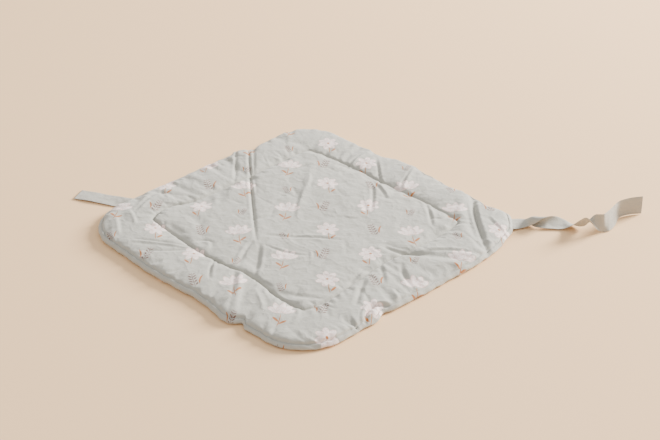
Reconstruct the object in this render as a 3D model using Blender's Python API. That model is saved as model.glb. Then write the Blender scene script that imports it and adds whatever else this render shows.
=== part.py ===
"""A square padded baby wrap with round corners and two flat ties, laid out on a surface.

Metres, +Z up. The origin is on the surface, under the middle of the padded square. The square is
turned so that its corners point along X and Y, with a tie at its left and at its right corner.

The square is worked out in its own axes: A runs from the left corner to the near corner, and B from
the near corner to the right corner. Its sides are named after them: "right" is at +A, "top" at +B,
"left" at -A and "bottom" at -B. The tables are in millimetres.
"""

import math

import bpy
import numpy as np

MM = 0.001

# Padded square
SIDE = 750 * MM               # edge to edge
CORNER_RADIUS = 125 * MM
STRAIGHT_HALF = SIDE / 2 - CORNER_RADIUS
RUN_HALF = STRAIGHT_HALF + CORNER_RADIUS * math.pi / 4    # middle of a side to the middle of a corner
LINE_HALF = 255 * MM          # middle of the square to its quilting line
LINE_CORNER = 8 * MM          # how far the line's corners are drawn in, along each axis
TURN = math.radians(-45)      # from the square's own axes to the part's

# Heights over the surface
PANEL_HEIGHT = 18.5 * MM      # middle of the inner panel
BAND_HEIGHT = 20.5 * MM       # crown of the band between the quilting line and the edge
LINE_HEIGHT = 11.5 * MM       # valley of the quilting line
TOPSTITCH_HEIGHT = 11.5 * MM  # valley of the stitching beside the edge
ROLL_HEIGHT = 11.5 * MM       # turned edge outside the topstitching
EDGE_HEIGHT = 6 * MM          # outermost line of the turned edge
LOWEST_TOP = 6 * MM           # thinnest that a fold may leave the padding
PANEL_RISE = 16 * MM          # distance in which the panel rises most of the way from its line

# Small waves that the thread draws up beside a seam
PUCKER_HEIGHT = 0.7 * MM
PUCKER_LENGTHS = (60 * MM, 38 * MM)
PUCKER_REACH = 16 * MM        # how far they run into the cloth
TOPSTITCH_SHARE = 0.925       # place of the topstitching between the quilting line and the edge

# Cross-section of a fold
LIP_PLACE = 1.8               # middle of each lip, in half widths from the fold's own line
FOLD_STEPS = 12               # straight pieces of each fold's curve

# Cells of the mesh
CELLS = 50                    # along each side of the inner panel
BOTTOM_INSETS = (3.5 * MM, 13 * MM)   # rings of the underside, in from the edge
BOTTOM_HEIGHTS = (1.6 * MM, 0.0)

# Ties
TIE_THICKNESS = 2 * MM
TIE_LOWEST = 0.3 * MM         # least height of a tie's lower side over the surface
TIE_GAP = 0.7 * MM            # between the sewn end's points and the padded edge's straight facets
TIE_STEP = 5.5 * MM           # length of one cell along a tie
TIE_CELLS = 5                 # cells across a tie

SIDE_NAMES = ("right", "top", "left", "bottom")

# Band profile: share of the way from the quilting line to the edge, and height there
BAND_PROFILE = (
    # share, height
    (0.00, LINE_HEIGHT),
    (0.045, 13.8 * MM),
    (0.11, 16.8 * MM),
    (0.22, 19.3 * MM),
    (0.36, BAND_HEIGHT),
    (0.52, BAND_HEIGHT),
    (0.68, 19.6 * MM),
    (0.82, 17.0 * MM),
    (TOPSTITCH_SHARE, TOPSTITCH_HEIGHT),
    (0.965, ROLL_HEIGHT),
    (1.00, EDGE_HEIGHT),
)

# Where the edge swells out or is drawn in, by hand laying it out
EDGE_BENDS = (
    # side, place along A or B, offset outwards, spread
    ("right", 140, 10, 90),
    ("right", 0, 4, 50),
    ("right", -125, -10, 16),
    ("right", -165, 3, 20),
    ("right", 285, -8, 33),
    ("top", -200, -9, 90),
    ("top", -105, -9, 22),
    ("top", -20, 8, 45),
    ("top", 120, -6, 22),
    ("top", 245, -8, 35),
    ("top", 303, 10, 28),
    ("left", -140, 5, 60),
    ("left", 20, 5, 80),
    ("left", 125, 9, 20),
    ("left", 165, -12, 20),
    ("left", 225, -8, 55),
    ("bottom", 245, -4, 40),
    ("bottom", 185, -15, 11),
    ("bottom", 145, 10, 35),
    ("bottom", 40, -4, 11),
    ("bottom", -100, 7, 90),
)

# Where the quilting line wanders
LINE_BENDS = (
    # side, place along A or B, offset outwards, spread
    ("top", -100, 10, 150),
    ("top", 150, 9, 120),
    ("right", 0, -9, 60),
    ("right", -200, 5, 70),
    ("bottom", 80, -13, 70),
    ("bottom", -200, -7, 90),
    ("left", -195, 22, 60),
)

# Where the edge stands higher than elsewhere
EDGE_LIFTS = (
    # side, place along A or B, lift, spread
    ("bottom", -60, 5, 190),
    ("bottom", -300, 3, 90),
    ("left", -300, 3, 90),
    ("right", -60, 2, 60),
    ("right", 150, 3, 60),
    ("top", 0, 3, 120),
)

# Folds and creases, each along a curve through three points (A, B)
FOLDS = (
    # name, start, middle, end, half width, height, lip on the left, lip on the right
    ("long pleat", (-395, 178), (-195, 8), (-15, -140), 11, -8, 1.5, 4),
    ("step by the pleat", (-395, 135), (-305, 48), (-225, -25), 10, -4, 1, 2),
    ("soft wavy ridge", (-195, 215), (-110, 105), (-15, -5), 11, 3, 0, 0),
    ("top band fold", (-70, 395), (-38, 325), (-8, 262), 11, -4, 1.5, 1.5),
    ("top band ridge", (-2, 385), (12, 340), (32, 300), 12, 3, 0, 0),
    ("short ridge below the line", (-25, 252), (22, 236), (75, 214), 10, 3, 0, 0),
    ("crease into the panel", (-15, 235), (38, 182), (88, 135), 10, -3.5, 1.5, 1),
    ("crease by the right line", (138, 258), (190, 215), (235, 165), 10, -3, 1, 1),
    ("right corner trough", (200, 372), (270, 270), (395, 190), 17, -10, 3, 3.5),
    ("right corner ridge", (262, 325), (312, 306), (368, 290), 11, 4, 0, -3),
    ("fan, high", (-20, -135), (50, -119), (125, -104), 11, -3, 1.5, 0),
    ("fan, long", (-5, -122), (65, -38), (150, 38), 13, -3, 1, 1.5),
    ("fan, short", (-5, -138), (8, -175), (45, -186), 11, -3, 0, 1.5),
    ("fan, hollow", (5, -155), (35, -190), (68, -222), 17, -4, 0, 0),
    ("fan, ridge", (-5, -185), (35, -215), (75, -243), 11, 3.5, 0, 0),
    ("right band trough", (190, 55), (270, 78), (395, 165), 15, -7, 2, 2),
    ("beside the right line", (188, 40), (197, -30), (206, -95), 11, -3, 0, 1.5),
    ("right band, upper", (240, 8), (300, -14), (365, -38), 12, -3, 1.5, 1),
    ("right band, long", (238, -45), (298, -130), (350, -212), 13, -5, 2, 2),
    ("bottom band, sharp", (-30, -248), (-2, -283), (28, -315), 10, -5, 2, 1),
    ("bottom band, broad ridge", (45, -242), (112, -330), (160, -378), 14, 4, -2, 0),
    ("bottom band, beside it", (78, -246), (105, -274), (135, -306), 11, -4, 0, 0),
    ("left of the bottom band", (-95, -258), (-152, -300), (-222, -342), 13, -5, 2, 2),
    ("its companion", (-115, -276), (-145, -305), (-178, -335), 10, 2.5, 0, 0),
    ("left corner, tall ridge", (-368, -160), (-332, -208), (-306, -256), 10, 5, -2, -3),
    ("left corner, low ridge", (-338, -258), (-308, -272), (-276, -290), 10, 4, 0, -2),
    ("left corner, edge ridge", (-328, -303), (-294, -324), (-255, -348), 10, 3, 0, -1),
    ("hollow by the left line", (-122, -198), (-108, -220), (-92, -243), 19, -4, 0, 0),
    ("pucker at the top line", (-132, 318), (-120, 292), (-106, 262), 10, -3, 1, 1),
    ("broad swell, far", (-190, 140), (-20, 150), (170, 100), 55, 2.5, 0, 0),
    ("broad swell, near", (-190, -90), (-110, -150), (-20, -215), 45, 2, 0, 0),
    ("broad swell, right", (60, 40), (150, -60), (220, -190), 50, 2, 0, 0),
    ("dip in the left band", (-330, 110), (-320, 60), (-315, 0), 40, -2.5, 0, 0),
    ("dip in the near corner", (150, -320), (240, -330), (320, -260), 45, -2, 0, 0),
)

# Course of each tie from its sewn end: its two edges, at each fold or turn, and how far the cloth
# between them stands off the straight line, towards the face that is up where the tie is sewn on.
# The edge named first is the near one at the sewn end.
TIE_RIGHT = (
    # near edge x, y, z, far edge x, y, z, belly
    (477.0, -11, 6, 477.0, 34, 6, 0),
    (496, -3, 3.2, 498, 41, 3, 2),
    (514, 1, 7, 508, 40, 3, 5),
    (531, -3, 18, 517, 24, 3, 14),
    (546, 0, 28, 528, 7, 3, 14),
    (562, 10, 29, 546, -2, 4, 10),
    (582, 30, 17, 568, -4, 4, 6),
    (603, 33, 6, 597, -7, 6, 2),
    (619, 19, 2, 614, -15, 20, 0),
    (636, 5, 5, 630, -20, 38, 0),
    (647, 0, 12, 641, -24, 46, 2),
    (655, -3, 31, 651, -26, 40, 6),
    (664, -6, 43, 662, -24, 23, 7),
    (673, -8, 45, 673, -18, 8, 5),
    (683, -9, 46, 684, -13, 1.2, 2),
    (698, 12, 43, 697, -11, 1.2, 2),
    (716, 38, 42, 718, 15, 1.2, 2),
    (732, 55, 45, 734, 51, 1.2, 0),
    (760, 67, 46, 762, 65, 1.2, 0),
    (789, 74, 46, 789, 70, 1.2, 0),
)
TIE_LEFT = (
    # near edge x, y, z, far edge x, y, z, belly
    (-433, 91, 5.5, -427, 133, 6, 0),
    (-452, 95, 2.6, -438, 138, 3, 1),
    (-486, 107, 3.4, -472, 150, 1.4, 1),
    (-524, 120, 3.6, -509, 163, 1.4, 0),
    (-557, 131, 2.4, -543, 174, 1.4, 0),
)

# Colours, as linear red, green and blue
SAGE = (0.52, 0.53, 0.49, 1.0)
SAGE_TIE = (0.50, 0.51, 0.47, 1.0)
COTTON_ROUGHNESS = 0.9


def unit(vectors):
    """The vectors of an array at length one."""
    return vectors / np.linalg.norm(vectors, axis=-1, keepdims=True)


def bends_at(table, side, run):
    """Sum of a table's soft bends, at a distance anticlockwise from the middle of a side."""
    place = run / MM if side in ("right", "bottom") else -run / MM
    total = 0.0
    for name, at, offset, spread in table:
        if name == side:
            total += offset * MM * math.exp(-((place - at) / spread) ** 2)
    return total


def turned(side, outwards, along):
    """A point in A and B, from its distance out from the middle and its place along a side."""
    angle = SIDE_NAMES.index(side) * math.pi / 2
    return np.array((
        outwards * math.cos(angle) - along * math.sin(angle),
        outwards * math.sin(angle) + along * math.cos(angle),
    ))


def edge_point(side, share):
    """A point of the outline, share -1 to 1 from the middle of one corner to the next."""
    run = share * RUN_HALF
    outwards = SIDE / 2
    along = run
    if abs(run) > STRAIGHT_HALF:
        angle = (abs(run) - STRAIGHT_HALF) / CORNER_RADIUS
        outwards = STRAIGHT_HALF + CORNER_RADIUS * math.cos(angle)
        along = math.copysign(STRAIGHT_HALF + CORNER_RADIUS * math.sin(angle), run)
    return turned(side, outwards + bends_at(EDGE_BENDS, side, run), along)


def panel_point(u, v):
    """A point inside the quilting line, from shares -1 to 1 along A and B."""
    bend_a = bends_at(LINE_BENDS, "right" if u > 0 else "left", v * LINE_HALF * math.copysign(1, u))
    bend_b = bends_at(LINE_BENDS, "top" if v > 0 else "bottom", -u * LINE_HALF * math.copysign(1, v))
    corner = LINE_CORNER * (abs(u) * abs(v)) ** 8
    a = u * LINE_HALF + math.copysign(abs(u) ** 4 * bend_a - corner, u)
    b = v * LINE_HALF + math.copysign(abs(v) ** 4 * bend_b - corner, v)
    return np.array((a, b))


def pucker(run, distance):
    """Height of the small waves beside a seam, at a place along it and a distance from it."""
    long_wave, short_wave = (math.sin(2 * math.pi * run / length) for length in PUCKER_LENGTHS)
    return PUCKER_HEIGHT * (long_wave + 0.7 * short_wave) * math.exp(-abs(distance) / PUCKER_REACH)


def fold_curve(start, middle, end):
    """Points along the parabola through three points given in millimetres."""
    start, middle, end = (np.array(p) * MM for p in (start, middle, end))
    control = 2 * middle - (start + end) / 2
    t = np.linspace(0, 1, FOLD_STEPS + 1)[:, None]
    return (1 - t) ** 2 * start + 2 * t * (1 - t) * control + t ** 2 * end


def place_on_curve(points, curve):
    """For each point, its distance to the left of a curve and its share of the way along it."""
    span = np.diff(curve, axis=0)
    offset = points[:, None, :] - curve[None, :-1, :]
    along = np.clip((offset * span).sum(axis=2) / (span ** 2).sum(axis=1), 0, 1)
    distance = np.linalg.norm(offset - along[:, :, None] * span, axis=2)
    nearest = distance.argmin(axis=1)
    rows = np.arange(len(points))
    near_span = span[nearest]
    near_offset = offset[rows, nearest]
    cross = near_span[:, 0] * near_offset[:, 1] - near_span[:, 1] * near_offset[:, 0]
    share = (nearest + along[rows, nearest]) / len(span)
    return distance[rows, nearest] * np.sign(cross), share


def fold_heights(points):
    """Height that all the folds add at each point (A, B)."""
    total = np.zeros(len(points))
    for _, start, middle, end, half, height, lip_left, lip_right in FOLDS:
        left, share = place_on_curve(points, fold_curve(start, middle, end))
        across = left / (half * MM)
        shape = height * np.exp(-across ** 2)
        shape += lip_left * np.exp(-(across - LIP_PLACE) ** 2)
        shape += lip_right * np.exp(-(across + LIP_PLACE) ** 2)
        total += shape * np.sin(math.pi * share) ** 0.6 * MM
    return total


def split(points, a, b, c, d):
    """A quad as two triangles, cut along the way that most folds run: far left to near right."""
    first = np.subtract(points[c][:2], points[a][:2])
    second = np.subtract(points[d][:2], points[b][:2])
    if abs(first[0] - first[1]) > abs(second[0] - second[1]):
        return [(a, b, c), (a, c, d)]
    return [(a, b, d), (b, c, d)]


def ring_faces(points, inner, outer):
    """Faces between two rings of the same number of points."""
    faces = []
    for i, (here, there) in enumerate(zip(inner, outer)):
        j = (i + 1) % len(inner)
        faces.extend(split(points, here, there, outer[j], inner[j]))
    return faces


def add_panel(flat, heights, faces):
    """Add the inner panel, and return its border, anticlockwise, with the side that each point faces."""
    shares = [2 * i / CELLS - 1 for i in range(CELLS + 1)]
    for v in shares:
        for u in shares:
            depth = (1 - max(abs(u), abs(v))) * LINE_HALF
            rise = 1 - math.exp(-depth / PANEL_RISE)
            flat.append(panel_point(u, v))
            waves = pucker((u - v) * LINE_HALF, depth) * (depth > 0)
            heights.append(LINE_HEIGHT + (PANEL_HEIGHT - LINE_HEIGHT) * rise + waves)
    row = CELLS + 1
    for j in range(CELLS):
        for i in range(CELLS):
            corner = j * row + i
            faces.extend(split(flat, corner, corner + 1, corner + row + 1, corner + row))

    border = []
    for side in SIDE_NAMES:
        for share in shares[:-1]:
            u, v = turned(side, 1.0, share)
            column = round((u + 1) / 2 * CELLS)
            line = round((v + 1) / 2 * CELLS)
            border.append((line * row + column, side, share))
    return border


def add_band(flat, heights, faces, border):
    """Add the band between the quilting line and the edge, and return its outermost ring."""
    ring = [index for index, _, _ in border]
    for share, profile_height in BAND_PROFILE[1:]:
        first = len(flat)
        for index, side, along in border:
            inner = flat[index]
            outer = edge_point(side, along)
            run = along * RUN_HALF
            height = profile_height + bends_at(EDGE_LIFTS, side, run) * share ** 3
            if share < TOPSTITCH_SHARE:
                near = min(share, TOPSTITCH_SHARE - share) * np.linalg.norm(outer - inner)
                height += pucker(run + SIDE_NAMES.index(side) * 2 * RUN_HALF, near)
            flat.append(inner + (outer - inner) * share)
            heights.append(height)
        outward = list(range(first, len(flat)))
        faces.extend(ring_faces(flat, ring, outward))
        ring = outward
    return ring


def add_underside(points, faces, edge_ring):
    """Add the underside: rings that tuck in under the edge, then one flat face on the surface."""
    ring = edge_ring
    for inset, height in zip(BOTTOM_INSETS, BOTTOM_HEIGHTS):
        first = len(points)
        for index in edge_ring:
            edge = np.array(points[index])
            lift = (edge[2] - EDGE_HEIGHT) * height / EDGE_HEIGHT
            inwards = edge[:2] - unit(edge[:2]) * inset
            points.append((inwards[0], inwards[1], height + max(0.0, lift)))
        inward = list(range(first, len(points)))
        faces.extend(ring_faces(points, ring, inward))
        ring = inward
    faces.append(tuple(reversed(ring)))


def quilt_mesh():
    """Points and faces of the padded square in A and B, and the indices of its outermost ring."""
    flat = []
    heights = []
    faces = []
    border = add_panel(flat, heights, faces)
    edge_ring = add_band(flat, heights, faces, border)

    flat = np.array(flat)
    heights = np.array(heights)
    inside = np.arange(len(flat)) < edge_ring[0]
    folded = np.maximum(heights + fold_heights(flat), LOWEST_TOP)
    heights = np.where(inside, folded, heights)

    points = [(a, b, z) for (a, b), z in zip(flat, heights)]
    add_underside(points, faces, edge_ring)
    return points, faces, edge_ring


def to_part(points):
    """Points in A, B and Z, turned into the part's own axes."""
    turn = np.array((
        (math.cos(TURN), -math.sin(TURN), 0),
        (math.sin(TURN), math.cos(TURN), 0),
        (0, 0, 1),
    ))
    return np.array(points) @ turn.T


def smooth_course(rows):
    """The rows of a tie's table, read about every TIE_STEP along smooth curves through them."""
    table = np.array(rows, float) * MM
    middle = (table[:, :3] + table[:, 3:6]) / 2
    steps = np.linalg.norm(np.diff(middle, axis=0), axis=1)
    knots = np.concatenate(([0], np.cumsum(steps)))
    slopes = np.gradient(table, knots, axis=0)
    course = []
    for at in np.linspace(0, knots[-1], round(knots[-1] / TIE_STEP) + 1):
        k = min(int(np.searchsorted(knots, at, side="right")) - 1, len(knots) - 2)
        width = knots[k + 1] - knots[k]
        t = (at - knots[k]) / width
        course.append(
            (2 * t ** 3 - 3 * t ** 2 + 1) * table[k]
            + (t ** 3 - 2 * t ** 2 + t) * width * slopes[k]
            + (3 * t ** 2 - 2 * t ** 3) * table[k + 1]
            + (t ** 3 - t ** 2) * width * slopes[k + 1]
        )
    return np.array(course)


def meet_edge(point, direction, padded_edge):
    """Shift that brings a sewn end's point to TIE_GAP from the padded edge, along the tie."""
    along = unit(direction)
    aside = np.array((-along[1], along[0]))
    facing = padded_edge[padded_edge @ along > 0] - point
    order = np.argsort(facing @ aside)
    reach = np.interp(0.0, (facing @ aside)[order], (facing @ along)[order])
    return along * (reach + TIE_GAP)


def tie_mesh(rows, padded_edge):
    """Points and faces of a flat tie whose sewn end follows the padded edge."""
    course = smooth_course(rows)
    shares = np.linspace(0, 1, TIE_CELLS + 1)[:, None]
    near_edge = course[:, None, :3]
    far_edge = course[:, None, 3:6]
    belly = course[:, None, 6:]
    cloth = near_edge * (1 - shares) + far_edge * shares
    away = unit(np.cross(np.gradient(cloth, axis=0), far_edge - near_edge))
    cloth = cloth + away * belly * 4 * shares * (1 - shares)

    along = np.gradient(cloth, axis=0)
    across = np.gradient(cloth, axis=1)
    half = unit(np.cross(along, across)) * TIE_THICKNESS / 2
    sections = np.concatenate((cloth - half, (cloth + half)[:, ::-1]), axis=1)
    sections[:, :, 2] += np.maximum(0.0, TIE_LOWEST - sections[:, :, 2].min(axis=1))[:, None]
    for p in sections[0]:
        p[:2] += meet_edge(p[:2], along[0, 0, :2], padded_edge)

    points = sections.reshape(-1, 3)
    size = sections.shape[1]
    faces = [tuple(reversed(range(size)))]
    for first in range(0, len(points) - size, size):
        here = list(range(first, first + size))
        there = list(range(first + size, first + 2 * size))
        faces.extend(ring_faces(points, there, here))
    faces.append(tuple(range(len(points) - size, len(points))))
    return points, faces


def cotton(name, colour):
    """A plain matt cotton."""
    made = bpy.data.materials.new(name)
    made.use_nodes = True
    shader = made.node_tree.nodes["Principled BSDF"]
    shader.inputs["Base Color"].default_value = colour
    shader.inputs["Roughness"].default_value = COTTON_ROUGHNESS
    shader.inputs["Metallic"].default_value = 0.0
    return made


def add_object(name, points, faces, colour):
    """A smooth-shaded object of its own cotton, from points and faces."""
    mesh = bpy.data.meshes.new(name)
    mesh.from_pydata([tuple(p) for p in points], [], faces)
    made = bpy.data.objects.new(name, mesh)
    bpy.context.collection.objects.link(made)
    mesh.shade_smooth()
    mesh.set_sharp_from_angle(angle=math.radians(50))
    mesh.materials.append(cotton(name + "_cotton", colour))


def build():
    """Remove what is in the scene, then make the padded square and its ties."""
    for old in list(bpy.data.objects):
        bpy.data.objects.remove(old, do_unlink=True)

    points, faces, edge_ring = quilt_mesh()
    points = to_part(points)
    add_object("quilt", points, faces, SAGE)
    padded_edge = points[edge_ring][:, :2]

    for name, rows in (("tie_left", TIE_LEFT), ("tie_right", TIE_RIGHT)):
        tie_points, tie_faces = tie_mesh(rows, padded_edge)
        add_object(name, tie_points, tie_faces, SAGE_TIE)


build()
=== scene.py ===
# %% [markdown]
# # A padded baby wrap, laid out flat
#
# The real object is a square of padded, printed cotton that a newborn is wrapped in. It has round
# corners, one line of quilting inside its edge, and two flat ties that hold it closed. Here it lies
# open on a pale surface, as creased as it came out of the drawer.
#
# The imported model gives its size and place. We load it first. The loader leaves its solids selected,
# so we deselect everything before any operator runs.

# %% Load the fixed frame
import math

import bpy
import numpy as np
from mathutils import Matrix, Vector


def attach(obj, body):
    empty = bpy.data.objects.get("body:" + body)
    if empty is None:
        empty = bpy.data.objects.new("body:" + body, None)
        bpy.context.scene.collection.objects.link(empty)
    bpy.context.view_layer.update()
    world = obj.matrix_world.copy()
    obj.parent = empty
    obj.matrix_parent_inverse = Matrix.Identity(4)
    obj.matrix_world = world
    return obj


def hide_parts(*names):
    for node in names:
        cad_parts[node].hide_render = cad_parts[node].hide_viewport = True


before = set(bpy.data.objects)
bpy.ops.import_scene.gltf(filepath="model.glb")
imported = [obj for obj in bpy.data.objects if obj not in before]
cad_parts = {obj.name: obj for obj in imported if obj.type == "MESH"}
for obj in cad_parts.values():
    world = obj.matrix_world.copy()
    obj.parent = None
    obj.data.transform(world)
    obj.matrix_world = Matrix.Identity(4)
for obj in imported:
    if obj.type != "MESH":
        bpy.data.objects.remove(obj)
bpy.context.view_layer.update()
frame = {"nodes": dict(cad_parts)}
bpy.ops.object.select_all(action="DESELECT")
MM = 0.001
print("solids:", ", ".join(frame["nodes"]))

# %% [markdown]
# ## The camera
#
# A long lens from above the near corner shows the square as a flat diamond, with almost no
# convergence. We could guess the place, but a square whose four sides we know fixes it: these numbers
# come from laying the square's outline over the picture. An object camera with its aim worked out
# from two points is easier to follow than three angles.

# %% Camera
EYE = Vector((0.056, -2.787, 1.705))
AIM = Vector((0.056, 0.039, 0.0))
CAMERA_ROLL = math.radians(0.13)
LENS, SENSOR_WIDTH = 77, 36   # millimetres

bpy.ops.object.camera_add(location=EYE)
camera = bpy.context.object
camera.rotation_euler = (AIM - EYE).to_track_quat("-Z", "Y").to_euler()
camera.rotation_euler.rotate_axis("Z", CAMERA_ROLL)
camera.data.lens = LENS
camera.data.sensor_width = SENSOR_WIDTH
bpy.context.scene.camera = camera
print("camera to the wrap:", round((AIM - EYE).length, 2), "m")

# %% [markdown]
# ## Helpers for materials
#
# Nodes can be laid out by hand in the shader editor. In a script it is shorter to say for each node
# what goes into it, so that a pattern reads like the sum that it is: a socket gets linked, and any
# other value is typed in.


# %% Helpers for materials
def feed(tree, node, values):
    """Link or set a node's sockets, each given by its name or number."""
    for key, value in values.items():
        if isinstance(value, bpy.types.NodeSocket):
            tree.links.new(value, node.inputs[key])
        else:
            node.inputs[key].default_value = value
    return node


def add_node(tree, kind, inputs=(), **settings):
    """A node with its settings, fed with named values or with a row of them in order."""
    node = tree.nodes.new(kind)
    for name, value in settings.items():
        setattr(node, name, value)
    return feed(tree, node, inputs if isinstance(inputs, dict) else dict(enumerate(inputs)))


def reckon(tree, operation, *values):
    """The result of one piece of arithmetic on numbers or sockets."""
    return add_node(tree, "ShaderNodeMath", values, operation=operation).outputs[0]


def new_material(name):
    """A new material, its node tree and its shader."""
    material = bpy.data.materials.new(name)
    material.use_nodes = True
    tree = material.node_tree
    return material, tree, tree.nodes["Principled BSDF"]


# %% [markdown]
# ## The surface and the light
#
# The wrap lies on a warm, pale, matt surface, which is only the stage. A box or a cloth would do as
# well, but one large plane has no edge that could show. It lies a hair lower than the underside, so
# that the two don't share a plane and flicker.

# %% Floor
FLOOR_COLOUR = (0.93, 0.625, 0.355, 1)
FLOOR_SIZE = 14
FLOOR_DROP = 0.0002

bpy.ops.mesh.primitive_plane_add(size=FLOOR_SIZE, location=(0, 0, -FLOOR_DROP))
floor = bpy.context.object
floor.name = "floor"
floor_paint, tree, shader = new_material("floor_paint")
feed(tree, shader, {"Base Color": FLOOR_COLOUR, "Roughness": 0.95, "Specular IOR Level": 0.2})
floor.data.materials.append(floor_paint)
print("floor:", floor.dimensions[:2])

# %% [markdown]
# One large soft window stands at the far right, and light from all round fills the shadows. A wide
# area light makes the broad soft shadow on the near left side, and a plain bright world stands for
# the rest of the room. A hard lamp would show every crease more clearly, but cotton in a bright room
# doesn't look like that.

# %% Light
WINDOW_PLACE = Vector((6.4, 3.9, 2.9))
WINDOW_SIZE = 2.6
WINDOW_POWER = 2500
WINDOW_COLOUR = (1.0, 0.97, 0.93)
ROOM_LIGHT = 1.0
ROOM_COLOUR = (1.0, 0.985, 0.97, 1)

bpy.ops.object.light_add(type="AREA", location=WINDOW_PLACE)
window = bpy.context.object
window.rotation_euler = (-WINDOW_PLACE).to_track_quat("-Z", "Y").to_euler()
window.data.energy = WINDOW_POWER
window.data.size = WINDOW_SIZE
window.data.color = WINDOW_COLOUR

room = bpy.data.worlds.new("room")
room.use_nodes = True
bpy.context.scene.world = room
glow = room.node_tree.nodes["Background"]
feed(room.node_tree, glow, {"Color": ROOM_COLOUR, "Strength": ROOM_LIGHT})
print("window:", WINDOW_POWER, "W, room:", ROOM_LIGHT)

# %% [markdown]
# ## The shape of the padded square
#
# A quilted pad is two layers of cotton with wadding between them, pulled thin wherever a thread goes
# through. So its shape is a height over the surface: a valley at the quilting line, a shallow panel
# inside it, a fuller band outside it, a second valley at the stitching beside the edge, and a small
# round roll at the edge itself.
#
# We could press grooves into a pillow with sculpting brushes. Working the height out from the way the
# wrap is sewn keeps the seams exactly where they belong, and lets us give the mesh rows of points
# that run along them. The square has its own axes: A runs from the left corner to the near corner,
# and B from the near corner to the right corner. They lie at 45 degrees to the world's.

# %% Sizes of the square
SIDE = 750 * MM
CORNER_RADIUS = 125 * MM
STRAIGHT_HALF = SIDE / 2 - CORNER_RADIUS
RUN_HALF = STRAIGHT_HALF + CORNER_RADIUS * math.pi / 4
LINE_HALF = 255 * MM          # middle of the square to its quilting line
LINE_CORNER = 8 * MM
BAND_WIDTH = SIDE / 2 - LINE_HALF
TURN = math.radians(-45)

PANEL_HEIGHT = 18.5 * MM
BAND_HEIGHT = 19.5 * MM
LINE_HEIGHT = 14 * MM
TOPSTITCH_HEIGHT = 13.5 * MM
EDGE_HEIGHT = 6 * MM
LOWEST_TOP = 4 * MM

PANEL_RISE = 3 * MM           # distance in which the padding fills out beside each seam
BAND_RISE = 5 * MM
TOPSTITCH_RISE = 7 * MM
TOPSTITCH_SHARE = 0.925       # place of the topstitching between quilting line and edge
print("side", SIDE, "m, band", round(BAND_WIDTH, 3), "m wide")

# %% [markdown]
# Hands laid the wrap out, so no edge is straight. Each row below is one soft bend: the side it is on,
# its place along A or B, how far it goes outwards, and how wide it is. Sides are named for where they
# are in A and B. All of these are millimetres.

# %% Bends of the edge and of the quilting line
EDGE_BENDS = (
    # side, place, offset outwards, spread
    ("right", 140, 10, 90),
    ("right", 0, 4, 50),
    ("right", -125, -10, 16),
    ("right", -165, 3, 20),
    ("right", 285, -8, 33),
    ("top", -200, -9, 90),
    ("top", -105, -9, 22),
    ("top", -20, 8, 45),
    ("top", 120, -6, 22),
    ("top", 245, -8, 35),
    ("top", 303, 10, 28),
    ("left", -140, 5, 60),
    ("left", 20, 5, 80),
    ("left", 125, 9, 20),
    ("left", 165, -12, 20),
    ("left", 225, -8, 55),
    ("bottom", 245, -4, 40),
    ("bottom", 185, -15, 11),
    ("bottom", 145, 10, 35),
    ("bottom", 40, -4, 11),
    ("bottom", -100, 7, 90),
)
LINE_BENDS = (
    ("top", -100, 10, 150),
    ("top", 150, 9, 120),
    ("right", 0, -9, 60),
    ("right", -200, 5, 70),
    ("bottom", 80, -13, 70),
    ("bottom", -200, -7, 90),
    ("left", -195, 22, 60),
)
EDGE_LIFTS = (
    # side, place, lift, spread
    ("bottom", -60, 5, 190),
    ("bottom", -300, 3, 90),
    ("left", -300, 3, 90),
    ("right", -60, 2, 60),
    ("right", 150, 3, 60),
    ("top", 0, 3, 120),
)


def bends_at(table, side, places):
    """Sum of a table's soft bends on one side, in metres, at places in metres along A or B."""
    total = np.zeros(np.shape(places))
    for name, at, offset, spread in table:
        if name == side:
            total += offset * np.exp(-((places / MM - at) / spread) ** 2)
    return total * MM


print("bends:", len(EDGE_BENDS) + len(LINE_BENDS) + len(EDGE_LIFTS))

# %% [markdown]
# The mesh has a square grid inside the quilting line and rings of the same number of points outside
# it, so both seams fall on rows of points. Each side's ring points go from the middle of one corner
# to the middle of the next, anticlockwise.

# %% Rows of points
CELLS = 102                   # along one side of the panel: about 5 mm each
RING_SHARES = (
    0.03, 0.07, 0.115, 0.165, 0.215, 0.265, 0.315, 0.365, 0.415, 0.465, 0.515, 0.565, 0.615,
    0.665, 0.715, 0.765, 0.81, 0.85, 0.88, 0.905, TOPSTITCH_SHARE, 0.94, 0.955, 0.97, 0.985, 1.0,
)
SIDE_NAMES = ("right", "top", "left", "bottom")
EDGE_WAVE = 0.6 * MM         # small waves of the outline, where the topstitching gathers it


def turned(side, outwards, along):
    """Places in A and B, from distances outwards and along one side, anticlockwise."""
    angle = SIDE_NAMES.index(side) * math.pi / 2
    a = outwards * math.cos(angle) - along * math.sin(angle)
    b = outwards * math.sin(angle) + along * math.cos(angle)
    return np.stack((a, b), axis=-1)


def edge_places(side, shares):
    """Places on the outline of one side, from shares -1 to 1 between two corners' middles."""
    run = shares * RUN_HALF
    angle = np.maximum(np.abs(run) - STRAIGHT_HALF, 0) / CORNER_RADIUS
    round_part = angle > 0
    outwards = np.where(round_part, STRAIGHT_HALF + CORNER_RADIUS * np.cos(angle), SIDE / 2)
    along = np.where(round_part, np.sign(run) * (STRAIGHT_HALF + CORNER_RADIUS * np.sin(angle)), run)
    place = run if side in ("right", "bottom") else -run
    gathers = EDGE_WAVE * (np.sin(run / (5.1 * MM)) + 0.8 * np.sin(run / (8.7 * MM) + 2))
    return turned(side, outwards + bends_at(EDGE_BENDS, side, place) + gathers, along)


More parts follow.
